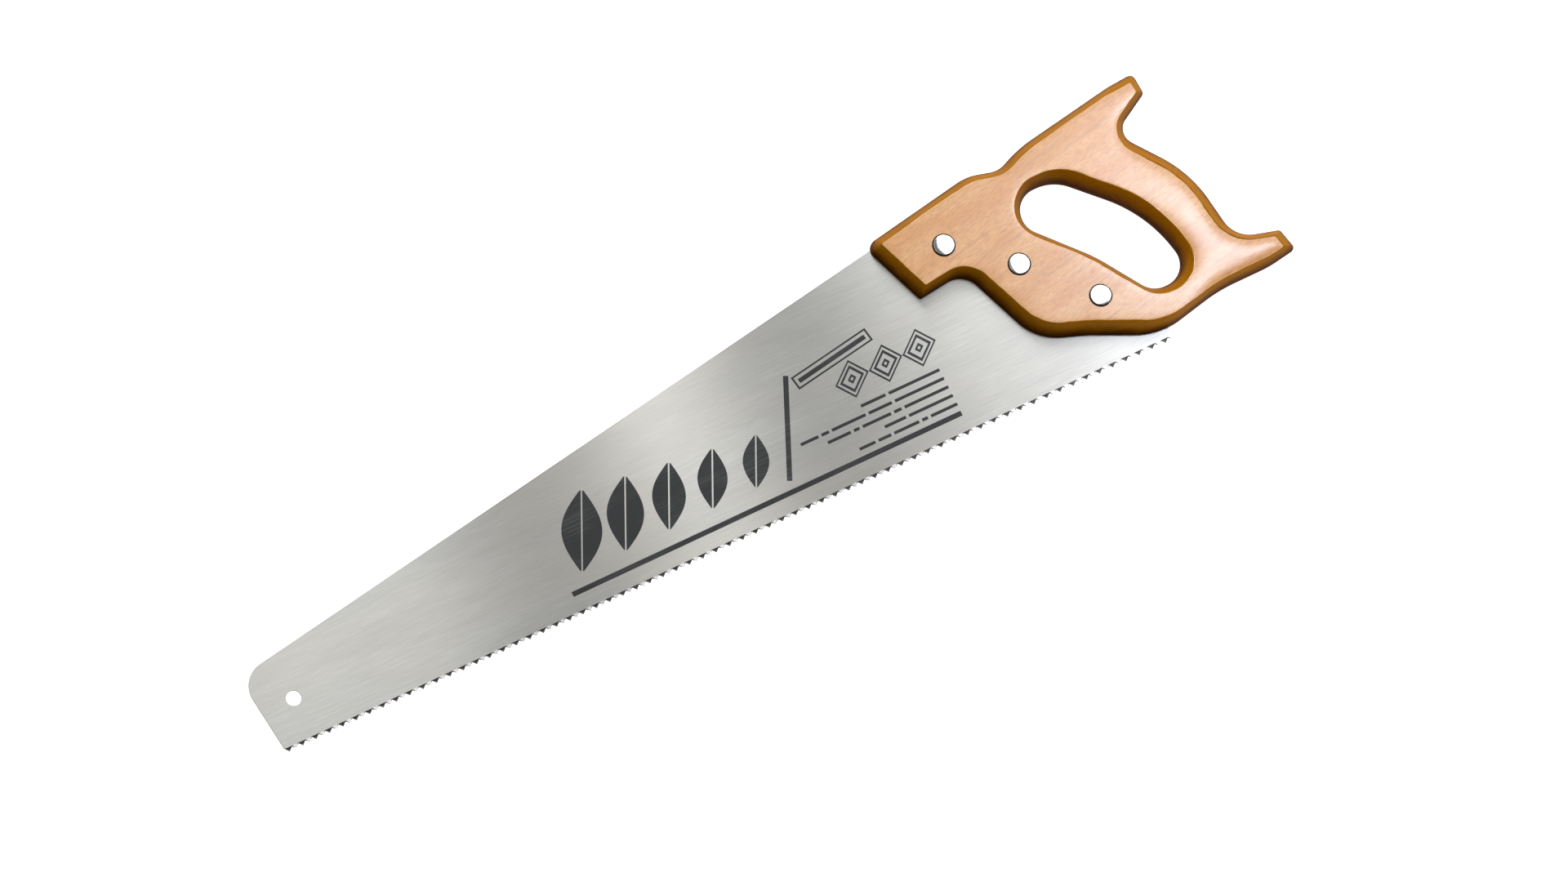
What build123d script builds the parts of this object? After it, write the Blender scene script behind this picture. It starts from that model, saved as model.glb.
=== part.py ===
from build123d import *
import math
import os

# Hand saw lying flat. Millimetres, +Z up. +X runs along the teeth from the toe to the handle,
# +Y runs across the blade from the teeth to its back edge. Outlines are laid out from the corner
# where the toe meets the line of tooth points, then moved so that the box of the whole saw is
# centred on the origin with its underside at z = 0.

SHIFT_X = -289.1
SHIFT_Y = -66.67

# wood
HANDLE_THICKNESS = 23.0
MID_Z = HANDLE_THICKNESS / 2

# steel plate
BLADE_THICKNESS = 0.9
BACK_HEIGHT_AT_TOE = 46.03
BACK_SLOPE = 0.15965
TOE_LEAN = -0.0945
TOE_ROUND = 14.0
HANG_HOLE = (14.7, 24.1)
HANG_HOLE_RADIUS = 3.97

# teeth: cross-cut, ground on both edges at an angle, bent to each side in turn
TOOTH_COUNT = 134
TOOTH_START = -1.2
TOOTH_END = 506.0
TOOTH_DEPTH = 2.5
TOOTH_SET = 0.25
TOOTH_INNER_DROP = 0.8

# fasteners: centre of each, from the nose to the heel
FASTENERS = {
    "nose": (418.3, 91.9),
    "middle": (448.6, 66.7),
    "heel": (478.6, 34.4),
}
HEAD_RADIUS = 5.65
HEAD_PROUD = 0.8
HEAD_SEAT_Z = 21.4
SHANK_RADIUS = 2.5
NECK_SIDE = 6.0
NECK_DEPTH = 4.0
SHANK_END_Z = 3.4
NUT_FACE_Z = 0.15
NUT_SEAT_Z = 2.4
NUT_BARREL_RADIUS = 3.5
NUT_BARREL_END_Z = 10.4
NUT_BORE_RADIUS = 2.6
NUT_BORE_START_Z = 2.0
SLOT_WIDTH = 1.6
SLOT_DEPTH = 1.0
GAP = 0.15

# Outline of the handle at mid thickness, anticlockwise from the top of the nose:
# x, y, corner radius, and how far the flat face stays inside the edge that follows the corner.
HANDLE_CORNERS = [
    (383.6, 110.3, 5.5, 4.8),   # top of the nose
    (397.0, 73.7, 2.0, 3.6),    # bottom of the nose
    (423.2, 76.9, 12.0, 4.7),   # notch in front of the hook
    (441.0, 29.8, 28.0, 5.0),   # front of the hook
    (466.0, 20.6, 60.0, 4.8),
    (499.4, 5.6, 40.0, 3.4),    # lowest point, over the heel of the blade
    (538.1, 14.1, 90.0, 3.2),
    (567.0, 14.0, 60.0, 3.2),
    (583.1, 15.9, 2.2, 7.0),    # lower horn
    (580.3, 28.0, 2.5, 5.3),
    (557.7, 34.2, 15.0, 7.4),   # back of the grip
    (552.8, 74.6, 65.0, 7.4),
    (527.4, 108.7, 8.3, 3.2),   # web of the hand, under the upper horn
    (550.5, 121.6, 2.5, 6.0),   # upper horn
    (550.0, 133.6, 3.5, 4.5),
    (535.0, 132.5, 80.0, 4.3),
    (478.6, 123.1, 70.0, 4.3),
    (464.2, 116.9, 14.0, 5.4),  # saddle in the top edge
    (447.7, 121.3, 28.0, 4.4),
]

# The hand hole in the same way; its edge slopes outward, so the insets are negative.
HOLE_CORNERS = [
    (487.3, 100.9, 22.0, -3.8),
    (463.4, 100.8, 13.0, -4.9),
    (463.4, 83.4, 10.5, -5.1),
    (488.0, 55.6, 80.0, -5.1),
    (506.3, 26.9, 12.0, -6.2),
    (529.5, 27.0, 12.5, -5.2),
    (522.8, 64.8, 70.0, -4.9),
]

# Heel of the blade inside the handle, from its back edge round to the teeth
HEEL_CORNERS = [
    (404.0, BACK_HEIGHT_AT_TOE + BACK_SLOPE * 404.0, 3.0),
    (446.0, 84.0, 6.0),
    (466.0, 64.0, 20.0),
    (489.0, 38.0, 20.0),
    (497.5, 27.0, 10.0),
    (506.2, TOOTH_DEPTH, 0.8),
]
KERF_ROOM = 0.4


def move(x, y, z=0.0):
    """A point of the outline as a point of the finished saw."""
    return Vector(x + SHIFT_X, y + SHIFT_Y, z)


def unit(ax, ay, bx, by):
    length = math.hypot(bx - ax, by - ay)
    return (bx - ax) / length, (by - ay) / length


def inset_corners(corners):
    """Move every edge inward by its own inset and return the new corners and radii."""
    count = len(corners)
    moved = []
    for i in range(count):
        x0, y0, _, before = corners[i - 1]
        x1, y1, radius, after = corners[i]
        x2, y2 = corners[(i + 1) % count][:2]
        ax, ay = unit(x0, y0, x1, y1)
        bx, by = unit(x1, y1, x2, y2)
        turn = ax * by - ay * bx
        px, py = x1 - ay * before, y1 + ax * before
        qx, qy = x1 - by * after, y1 + bx * after
        along = ((qx - px) * by - (qy - py) * bx) / turn
        mean = (before + after) / 2
        new_radius = radius - mean if turn > 0 else radius + mean
        moved.append((px + ax * along, py + ay * along, max(new_radius, 1.0)))
    return moved


def rounded_wire(corners, z):
    """A closed wire of straight lines and tangent arcs through rounded corners."""
    count = len(corners)
    starts = []
    middles = []
    ends = []
    for i in range(count):
        x0, y0 = corners[i - 1][:2]
        x1, y1, radius = corners[i][:3]
        x2, y2 = corners[(i + 1) % count][:2]
        ax, ay = unit(x0, y0, x1, y1)
        bx, by = unit(x1, y1, x2, y2)
        half = math.atan2(ax * by - ay * bx, ax * bx + ay * by) / 2
        tangent = radius * math.tan(abs(half))
        starts.append((x1 - ax * tangent, y1 - ay * tangent))
        ends.append((x1 + bx * tangent, y1 + by * tangent))
        reach = radius * (1 / math.cos(half) - 1) / (2 * math.sin(abs(half)))
        middles.append((x1 + (bx - ax) * reach, y1 + (by - ay) * reach))
    edges = []
    for i in range(count):
        j = (i + 1) % count
        edges.append(Edge.make_three_point_arc(
            move(*starts[i], z), move(*middles[i], z), move(*ends[i], z)))
        edges.append(Edge.make_line(move(*ends[i], z), move(*starts[j], z)))
    return Wire(edges)


def bevelled_block(corners):
    """A block whose sides lean out from both flat faces to the outline at mid thickness."""
    faces = inset_corners(corners)
    wires = [
        rounded_wire(faces, 0.0),
        rounded_wire(corners, MID_Z),
        rounded_wire(faces, HANDLE_THICKNESS),
    ]
    return Solid.make_loft(wires, ruled=True)


def plate(corners, z_low, z_high):
    face = Face(rounded_wire(corners, z_low))
    return extrude(face, amount=z_high - z_low, dir=(0, 0, 1))


def cylinder(x, y, radius, z_low, z_high):
    height = z_high - z_low
    place = Location(move(x, y, (z_low + z_high) / 2))
    return place * Cylinder(radius, height)


def square_peg(x, y, side, z_low, z_high):
    place = Location(move(x, y, (z_low + z_high) / 2))
    return place * Box(side, side, z_high - z_low)


def blade_corners():
    """The plate without its teeth, anticlockwise from the lower toe corner."""
    top_y = (BACK_HEIGHT_AT_TOE - BACK_SLOPE * 1.3) / (1 - BACK_SLOPE * TOE_LEAN)
    toe_top = (-1.3 + TOE_LEAN * top_y, top_y, TOE_ROUND)
    toe_bottom = (-1.3 + TOE_LEAN * TOOTH_DEPTH, TOOTH_DEPTH, 0.3)
    heel = [(x, y, r) for x, y, r in reversed(HEEL_CORNERS)]
    return [toe_bottom] + heel + [toe_top]


def tooth(x0, x1, side):
    """One tooth: a wedge bent to one side, bevelled so that its outer face carries the point."""
    low = MID_Z - BLADE_THICKNESS / 2
    high = MID_Z + BLADE_THICKNESS / 2
    middle = (x0 + x1) / 2
    outer = MID_Z + side * (BLADE_THICKNESS / 2 + TOOTH_SET)
    inner = MID_Z - side * (BLADE_THICKNESS / 2 - TOOTH_SET * 0.7)
    base = [
        move(x0, TOOTH_DEPTH, low),
        move(x1, TOOTH_DEPTH, low),
        move(x1, TOOTH_DEPTH, high),
        move(x0, TOOTH_DEPTH, high),
    ]
    point_outer = move(middle, 0.0, outer)
    point_inner = move(middle, TOOTH_INNER_DROP, inner)
    point_high = point_outer if side > 0 else point_inner
    point_low = point_inner if side > 0 else point_outer
    corners = [
        base,
        [base[0], base[1], point_low],
        [base[2], base[3], point_high],
        [base[0], point_low, point_high],
        [base[0], point_high, base[3]],
        [base[1], base[2], point_high],
        [base[1], point_high, point_low],
    ]
    faces = [Face(Wire.make_polygon(c, close=True)) for c in corners]
    return Solid(Shell(faces))


def make_blade():
    low = MID_Z - BLADE_THICKNESS / 2
    high = MID_Z + BLADE_THICKNESS / 2
    body = plate(blade_corners(), low, high)
    pitch = (TOOTH_END - TOOTH_START) / TOOTH_COUNT
    teeth = []
    for i in range(TOOTH_COUNT):
        x0 = TOOTH_START + i * pitch
        teeth.append(tooth(x0, x0 + pitch, 1 if i % 2 else -1))
    body = body.fuse(*teeth)
    cutters = [cylinder(*HANG_HOLE, HANG_HOLE_RADIUS, low - 1, high + 1)]
    for x, y in FASTENERS.values():
        cutters.append(cylinder(x, y, SHANK_RADIUS + 0.2, low - 1, high + 1))
    for cutter in cutters:
        body = body - cutter
    return body


def make_handle():
    wood = bevelled_block(HANDLE_CORNERS)
    wood = wood - bevelled_block(HOLE_CORNERS)
    # sawn slot for the blade: open at the nose and along the hook, closed behind the heel
    slot_back = [(x + KERF_ROOM, y + KERF_ROOM, r) for x, y, r in reversed(HEEL_CORNERS[:-1])]
    far_y = BACK_HEIGHT_AT_TOE + BACK_SLOPE * 370.0 + KERF_ROOM
    slot = [(370.0, 0.0, 0.5), (508.5, 0.0, 0.5)] + slot_back + [(370.0, far_y, 0.5)]
    low = MID_Z - BLADE_THICKNESS / 2
    high = MID_Z + BLADE_THICKNESS / 2
    wood = wood - plate(slot, low, high)
    for x, y in FASTENERS.values():
        wood = wood - cylinder(x, y, HEAD_RADIUS + GAP, HEAD_SEAT_Z, HANDLE_THICKNESS + 1)
        wood = wood - square_peg(x, y, NECK_SIDE + 2 * GAP, HEAD_SEAT_Z - NECK_DEPTH - GAP, 22.0)
        wood = wood - cylinder(x, y, SHANK_RADIUS + 0.3, MID_Z, 20.0)
        wood = wood - cylinder(x, y, NUT_BARREL_RADIUS + GAP, 1.0, MID_Z)
        wood = wood - cylinder(x, y, HEAD_RADIUS + GAP, -1.0, NUT_SEAT_Z)
    return wood


def make_bolt(x, y):
    head = cylinder(x, y, HEAD_RADIUS, HEAD_SEAT_Z, HANDLE_THICKNESS + HEAD_PROUD)
    rim = head.edges().group_by(Axis.Z)[-1]
    head = fillet(rim, 0.25)
    neck = square_peg(x, y, NECK_SIDE, HEAD_SEAT_Z - NECK_DEPTH, HEAD_SEAT_Z)
    shank = cylinder(x, y, SHANK_RADIUS, SHANK_END_Z, HEAD_SEAT_Z)
    return head + neck + shank


def make_nut(x, y):
    head = cylinder(x, y, HEAD_RADIUS, NUT_FACE_Z, NUT_SEAT_Z)
    barrel = cylinder(x, y, NUT_BARREL_RADIUS, NUT_SEAT_Z, NUT_BARREL_END_Z)
    bore = cylinder(x, y, NUT_BORE_RADIUS, NUT_BORE_START_Z, NUT_BARREL_END_Z + 1)
    place = Location(move(x, y, NUT_FACE_Z + SLOT_DEPTH / 2))
    slot = place * Box(4 * HEAD_RADIUS, SLOT_WIDTH, SLOT_DEPTH)
    return head + barrel - bore - slot


def save(shape, name):
    solids = shape.solids()
    if len(solids) != 1:
        raise ValueError(name + " is not one solid")
    export_step(solids[0], "parts/" + name + ".step")
    box = solids[0].bounding_box()
    print(name, round(solids[0].volume, 1), box.min, box.max)


os.makedirs("parts", exist_ok=True)
save(make_blade(), "blade")
save(make_handle(), "handle")
for label, centre in FASTENERS.items():
    save(make_bolt(*centre), "bolt_" + label)
    save(make_nut(*centre), "nut_" + label)
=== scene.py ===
"""Looks of the hand saw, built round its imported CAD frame. Lengths in the layout values are millimetres."""

import math

import bmesh
import bpy
import numpy as np
from mathutils import Matrix, Vector, kdtree
from mathutils.geometry import delaunay_2d_cdt


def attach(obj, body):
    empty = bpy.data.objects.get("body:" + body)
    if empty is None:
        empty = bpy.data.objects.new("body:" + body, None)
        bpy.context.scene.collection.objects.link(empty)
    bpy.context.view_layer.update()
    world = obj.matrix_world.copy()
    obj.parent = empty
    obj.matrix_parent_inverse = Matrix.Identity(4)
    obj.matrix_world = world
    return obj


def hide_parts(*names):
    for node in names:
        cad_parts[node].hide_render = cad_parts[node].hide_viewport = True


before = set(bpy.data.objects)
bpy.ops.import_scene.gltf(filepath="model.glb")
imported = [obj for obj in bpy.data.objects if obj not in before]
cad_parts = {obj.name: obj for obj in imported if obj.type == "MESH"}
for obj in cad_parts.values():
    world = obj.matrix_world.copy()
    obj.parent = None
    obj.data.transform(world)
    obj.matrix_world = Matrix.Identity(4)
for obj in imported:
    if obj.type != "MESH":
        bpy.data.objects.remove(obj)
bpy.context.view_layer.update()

MM = 0.001
SHIFT = (-289.1, -66.67)      # layout corner to the frame's origin
THICKNESS = 23.0
HALF = THICKNESS / 2
BLADE_THICKNESS = 0.9
BLADE_LOW = HALF - BLADE_THICKNESS / 2
BLADE_TOP = HALF + BLADE_THICKNESS / 2

# Handle at mid thickness, within a millimetre of the CAD source: x, y, corner radius, inset of the flat face
HANDLE_CORNERS = [
    (383.6, 110.3, 5.5, 4.5),
    (397.0, 73.7, 2.0, 3.1),
    (423.2, 76.9, 12.0, 4.7),
    (441.0, 29.8, 28.0, 5.0),
    (466.0, 20.6, 60.0, 4.8),
    (499.4, 5.1, 40.0, 2.7),
    (538.1, 13.4, 90.0, 2.6),
    (567.0, 13.5, 60.0, 2.6),
    (583.05, 15.9, 2.2, 7.0),
    (580.3, 28.0, 2.5, 5.3),
    (557.7, 34.2, 15.0, 7.4),
    (552.8, 74.6, 65.0, 7.4),
    (527.4, 108.7, 8.3, 3.2),
    (550.5, 121.6, 2.5, 6.0),
    (550.0, 133.6, 3.5, 5.5),
    (535.0, 132.5, 80.0, 4.9),
    (478.6, 123.1, 70.0, 4.7),
    (464.2, 116.9, 14.0, 5.4),
    (447.7, 121.3, 28.0, 5.1),
]
HOLE_CORNERS = [
    (487.3, 100.9, 22.0, -3.8),
    (463.4, 100.8, 13.0, -4.9),
    (463.4, 83.4, 10.5, -5.1),
    (488.0, 55.6, 80.0, -5.1),
    (506.3, 26.9, 12.0, -6.2),
    (529.5, 27.0, 12.5, -5.2),
    (522.8, 64.8, 70.0, -4.9),
]
FASTENERS = [(418.3, 91.9), (448.6, 66.7), (478.6, 34.4)]
# stepped bore of each fastener, from the front face to the back: height, radius
BORE_STEPS = [
    (THICKNESS, 6.05), (THICKNESS - 0.1, 6.05),
    (21.4, 6.05), (21.4, 4.4),          # seat of the bolt head
    (17.2, 4.4), (17.2, 2.8),           # end of the square neck
    (HALF, 2.8), (HALF, 3.65),          # shank, then the sleeve of the nut
    (2.4, 3.65), (2.4, 5.95),           # seat of the nut head
    (0.1, 5.95), (0.0, 5.95),
]
BORE_SIDES = 48
AT_BORE_MOUTH = 5.0           # values of the rim attribute at the mouth of a bore and down inside it
IN_BORE = -5.0


def at(x, y, z=0.0):
    """Layout millimetres to frame metres."""
    return Vector(((x + SHIFT[0]) * MM, (y + SHIFT[1]) * MM, z * MM))


class Shape:
    """Vertices and faces of one mesh, with a material slot per face and a rim value per vertex."""

    def __init__(self):
        self.verts, self.faces, self.slots, self.rims = [], [], [], []

    def add(self, x, y, z, rim=0.0):
        self.verts.append(tuple(at(x, y, z)))
        self.rims.append(rim)
        return len(self.verts) - 1

    def face(self, ids, slot=0):
        self.faces.append(tuple(ids))
        self.slots.append(slot)

    def strip(self, a, b, slot=0):
        """Quads between two closed rows of equal count."""
        for i in range(len(a)):
            j = (i + 1) % len(a)
            self.face((a[i], a[j], b[j], b[i]), slot)

    def mesh(self, name, materials):
        mesh = bpy.data.meshes.new(name)
        mesh.from_pydata(self.verts, [], self.faces)
        for material in materials:
            mesh.materials.append(material)
        mesh.polygons.foreach_set("material_index", self.slots)
        return mesh


def new_object(name, data):
    """A mesh, light or camera put into the scene."""
    obj = bpy.data.objects.new(name, data)
    bpy.context.scene.collection.objects.link(obj)
    return obj


def face_outward(mesh, smooth=False, brushing=False):
    """Turn every face outward, and if asked, smooth it or give it the UV map that the brushing follows."""
    bm = bmesh.new()
    bm.from_mesh(mesh)
    bmesh.ops.recalc_face_normals(bm, faces=bm.faces)
    if smooth:
        for f in bm.faces:
            f.smooth = True
    if brushing:
        layer = bm.loops.layers.uv.new("brushing")
        for f in bm.faces:
            for corner in f.loops:
                x, y, z = corner.vert.co
                corner[layer].uv = (y + 0.3 * z, x + 0.3 * z)
    bm.to_mesh(mesh)
    bm.free()


def circle(centre, radius, sides=BORE_SIDES):
    return [(centre[0] + radius * math.cos(2 * math.pi * k / sides),
             centre[1] + radius * math.sin(2 * math.pi * k / sides)) for k in range(sides)]


# ---------------------------------------------------------------- outlines

SMALLEST_RADIUS = 1.0
LEAST_ARC_STEPS = 5
ARC_STEP_ANGLE = 0.16
STRAIGHT_STRETCH = 1.6        # a step on a straight is this much longer than one on an arc
WOBBLE_WAVES = ((5, 0.12, 0.3), (11, 0.08, 1.7), (23, 0.03, 4.1))     # waves in the outline, size, phase


def unit(ax, ay, bx, by):
    length = math.hypot(bx - ax, by - ay)
    return (bx - ax) / length, (by - ay) / length


def bar(x0, y0, x1, y1, width):
    """Corners of a straight bar of some width."""
    ux, uy = unit(x0, y0, x1, y1)
    hx, hy = -uy * width / 2, ux * width / 2
    return [(x0 - hx, y0 - hy), (x1 - hx, y1 - hy), (x1 + hx, y1 + hy), (x0 + hx, y0 + hy)]


def inset_corners(corners, share):
    """Corners and radii with every edge moved inward by a share of its own inset."""
    count = len(corners)
    moved = []
    for i in range(count):
        x0, y0, _, before = corners[i - 1]
        x1, y1, radius, after = corners[i]
        x2, y2 = corners[(i + 1) % count][:2]
        before *= share
        after *= share
        ax, ay = unit(x0, y0, x1, y1)
        bx, by = unit(x1, y1, x2, y2)
        turn = ax * by - ay * bx
        px, py = x1 - ay * before, y1 + ax * before
        qx, qy = x1 - by * after, y1 + bx * after
        along = ((qx - px) * by - (qy - py) * bx) / turn
        mean = (before + after) / 2
        new_radius = radius - mean if turn > 0 else radius + mean
        moved.append((px + ax * along, py + ay * along, max(new_radius, SMALLEST_RADIUS)))
    return moved


def corner_arc(corners, i):
    """Start, direction of travel and turn of the arc at one corner."""
    count = len(corners)
    x0, y0 = corners[i - 1][:2]
    x1, y1, radius = corners[i][:3]
    x2, y2 = corners[(i + 1) % count][:2]
    ax, ay = unit(x0, y0, x1, y1)
    bx, by = unit(x1, y1, x2, y2)
    turn = math.atan2(ax * by - ay * bx, ax * bx + ay * by)
    tangent = radius * math.tan(abs(turn) / 2)
    return x1 - ax * tangent, y1 - ay * tangent, math.atan2(ay, ax), turn, radius


def outline_counts(corners, step):
    """How many steps each arc and each straight gets, so every level has the same points."""
    plain = [c[:3] for c in corners]
    arcs = [corner_arc(plain, i) for i in range(len(plain))]
    counts = []
    for i, (sx, sy, heading, turn, radius) in enumerate(arcs):
        arc_steps = max(LEAST_ARC_STEPS, math.ceil(abs(turn) * radius / step),
                        math.ceil(abs(turn) / ARC_STEP_ANGLE))
        ex, ey = arc_point(sx, sy, heading, turn, radius, 1.0)[:2]
        nx, ny = arcs[(i + 1) % len(arcs)][:2]
        straight_steps = max(1, round(math.hypot(nx - ex, ny - ey) / (STRAIGHT_STRETCH * step)))
        counts.append((arc_steps, straight_steps))
    return counts


def arc_point(sx, sy, heading, turn, radius, share):
    """A point on a corner arc and its left-hand normal."""
    side = 1 if turn > 0 else -1
    cx = sx - math.sin(heading) * radius * side
    cy = sy + math.cos(heading) * radius * side
    angle = heading + turn * share
    return (cx + math.sin(angle) * radius * side, cy - math.cos(angle) * radius * side,
            -math.sin(angle), math.cos(angle))


def outline(corners, share, counts):
    """Points of the outline at one level, each with its inward normal."""
    level = inset_corners(corners, share)
    arcs = [corner_arc(level, i) for i in range(len(level))]
    points = []
    for i, (arc_steps, straight_steps) in enumerate(counts):
        for k in range(arc_steps + 1):
            points.append(arc_point(*arcs[i], k / arc_steps))
        ex, ey, nx, ny = points[-1]
        fx, fy = arcs[(i + 1) % len(arcs)][:2]
        for k in range(1, straight_steps):
            t = k / straight_steps
            points.append((ex + (fx - ex) * t, ey + (fy - ey) * t, nx, ny))
    return np.array(points)


def wobble(points):
    """Small uneven inset of a hand-sanded edge, as a length per point of the outline."""
    closed = np.vstack([points[:, :2], points[:1, :2]])
    steps = np.hypot(*np.diff(closed, axis=0).T)
    along = np.concatenate([[0.0], np.cumsum(steps)[:-1]])
    total = steps.sum()
    return sum(size * np.sin(2 * math.pi * turns * along / total + phase)
               for turns, size, phase in WOBBLE_WAVES)


# ---------------------------------------------------------------- handle

# levels of the sloped edge, from mid thickness to the flat face: share of height, share of inset
EDGE_LEVELS = [(0.0, 0.0), (0.08, 0.01), (0.18, 0.05), (0.30, 0.12), (0.44, 0.24), (0.58, 0.38),
               (0.70, 0.52), (0.81, 0.67), (0.89, 0.79), (0.945, 0.885), (0.98, 0.955), (1.0, 1.03)]
TURN_OVER = 5.0               # millimetres of extra inset for each share beyond 1
OUTLINE_STEP = 1.3
# rows of points inside the edge of the flat face: inset, every how many points of the outline
RIM_OFFSETS = ((0.25, 1), (0.75, 1), (1.6, 2), (2.8, 2), (4.2, 2))
GRID_STEP = 3.2
GRID_X = (386.0, 582.0)
GRID_Y = (6.0, 132.0)
GRID_GAP = 1.2                # from the last row to the grid
GRID_BORE_GAP = 8.0           # from the middle of a bore to the grid
BORE_FLAT = (6.5, 14.0)       # the face is flat up to the first radius and free from the second
STRAY = 0.1                   # triangles this close outside a bore mouth belong to the bore
EDGE_DROP, EDGE_DROP_REACH = 0.10, 1.3
GRIP_DROP, GRIP_DROP_REACH = 0.55, 3.5
GRIP_X = (515, 540)
GRIP_Y = (112, 120)
UNEVENNESS = 0.02
SHARP_HANDLE_ANGLE = 42


def inside(point, ring):
    """Whether a point lies within a closed ring of points."""
    x, y = point
    x0, y0 = ring[:, 0], ring[:, 1]
    x1, y1 = np.roll(x0, -1), np.roll(y0, -1)
    crosses = (y0 > y) != (y1 > y)
    with np.errstate(divide="ignore", invalid="ignore"):
        hit = x < (x1 - x0) * (y - y0) / (y1 - y0) + x0
    return bool(np.count_nonzero(crosses & hit) % 2)


def tree_of(points):
    tree = kdtree.KDTree(len(points))
    for i, p in enumerate(points):
        tree.insert((p[0], p[1], 0.0), i)
    tree.balance()
    return tree


def smooth_step(low, high, value):
    t = min(1.0, max(0.0, (value - low) / (high - low)))
    return t * t * (3 - 2 * t)


def face_drop(x, y, distance):
    """How far the face falls away near its edge; the grip is rounded over more widely."""
    drop = EDGE_DROP * math.exp(-distance / EDGE_DROP_REACH)
    grip = smooth_step(*GRIP_X, x) * (1 - smooth_step(*GRIP_Y, y))
    drop += GRIP_DROP * grip * math.exp(-distance / GRIP_DROP_REACH)
    drop += UNEVENNESS * math.sin(x / 13.0 + 0.6) * math.sin(y / 11.0 + 1.9)
    return max(drop, 0.0)


def bore_distance(x, y):
    """How far it is to the middle of the nearest bore."""
    return min(math.hypot(x - cx, y - cy) for cx, cy in FASTENERS)


def handle_outline(corners, counts, wave, height, share):
    """Outline at one level of the sloped edge; the wobble grows towards the face."""
    pts = outline(corners, min(share, 1.0), counts)
    extra = wave * smooth_step(0.3, 1.0, height) + max(share - 1.0, 0.0) * TURN_OVER
    sign = 1.0 if corners is HANDLE_CORNERS else -1.0
    pts[:, :2] += pts[:, 2:] * (extra * sign)[:, None]
    return pts


def sloped_edge(shape, corners):
    """Rows from the back face to the front face, each with its vertices and its outline."""
    counts = outline_counts(corners, OUTLINE_STEP)
    wave = wobble(outline(corners, 0.0, counts))
    rings = []
    for sign in (-1, 1):
        levels = EDGE_LEVELS[1:][::-1] if sign < 0 else EDGE_LEVELS
        for height, share in levels:
            pts = handle_outline(corners, counts, wave, height, share)
            ids = []
            for x, y in pts[:, :2]:
                drop = face_drop(x, y, 0.0) if height == 1.0 else 0.0
                ids.append(shape.add(x, y, HALF + sign * (HALF * height - drop), height - 1.0))
            rings.append((ids, pts))
    for (a, _), (b, _) in zip(rings, rings[1:]):
        shape.strip(a, b, 1)
    return rings


def face_points(outer, hole, edge_tree):
    """Points that fill the flat face: rows that follow its edges, then a plain grid."""
    points = []
    for offset, every in RIM_OFFSETS:
        for pts, side in ((outer, 1.0), (hole, -1.0)):
            for p in pts[::every]:
                x, y = p[0] + side * p[2] * offset, p[1] + side * p[3] * offset
                if edge_tree.find((x, y, 0.0))[2] > offset * 0.9:
                    points.append((x, y))
    for x in np.arange(*GRID_X, GRID_STEP):
        for y in np.arange(*GRID_Y, GRID_STEP):
            if not inside((x, y), outer) or inside((x, y), hole):
                continue
            if edge_tree.find((x, y, 0.0))[2] < RIM_OFFSETS[-1][0] + GRID_GAP:
                continue
            if bore_distance(x, y) >= GRID_BORE_GAP:
                points.append((x, y))
    return points


def flat_face(shape, sign, outer_ring, hole_ring):
    """Triangles of the front or the back face. Returns the vertices of its three bore mouths."""
    outer_ids, outer = outer_ring
    hole_ids, hole = hole_ring
    edge_tree = tree_of(np.vstack([outer[:, :2], hole[:, :2]]))
    z_face, mouth_radius = BORE_STEPS[0] if sign > 0 else BORE_STEPS[-1]
    loops = [(outer, outer_ids), (hole, hole_ids)]
    mouths = []
    for centre in FASTENERS:
        mouth = circle(centre, mouth_radius)
        mouths.append([shape.add(x, y, z_face, AT_BORE_MOUTH) for x, y in mouth])
        loops.append((mouth, mouths[-1]))
    points, ids, edges = [], [], []
    for coords, known in loops:
        start, n = len(points), len(coords)
        points += [(float(c[0]), float(c[1])) for c in coords]
        ids += known
        edges += [(start + i, start + (i + 1) % n) for i in range(n)]
    loose = face_points(outer, hole, edge_tree)
    points += loose
    ids += [None] * len(loose)
    coords, _, tris, origin = delaunay_2d_cdt([Vector(p) for p in points], edges, [], 0, 1e-5)[:4]
    index = []
    for k, (x, y) in enumerate(coords):
        known = [ids[o] for o in origin[k] if ids[o] is not None]
        if known:
            index.append(known[0])
            continue
        distance = edge_tree.find((x, y, 0.0))[2]
        drop = face_drop(x, y, distance) * smooth_step(*BORE_FLAT, bore_distance(x, y))
        index.append(shape.add(x, y, HALF + sign * (HALF - drop), distance))
    for tri in tris:
        mid = (sum(coords[k][0] for k in tri) / 3, sum(coords[k][1] for k in tri) / 3)
        if not inside(mid, outer) or inside(mid, hole) or bore_distance(*mid) < mouth_radius + STRAY:
            continue
        order = [index[k] for k in tri]
        shape.face(order if sign > 0 else order[::-1])
    return mouths


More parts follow.
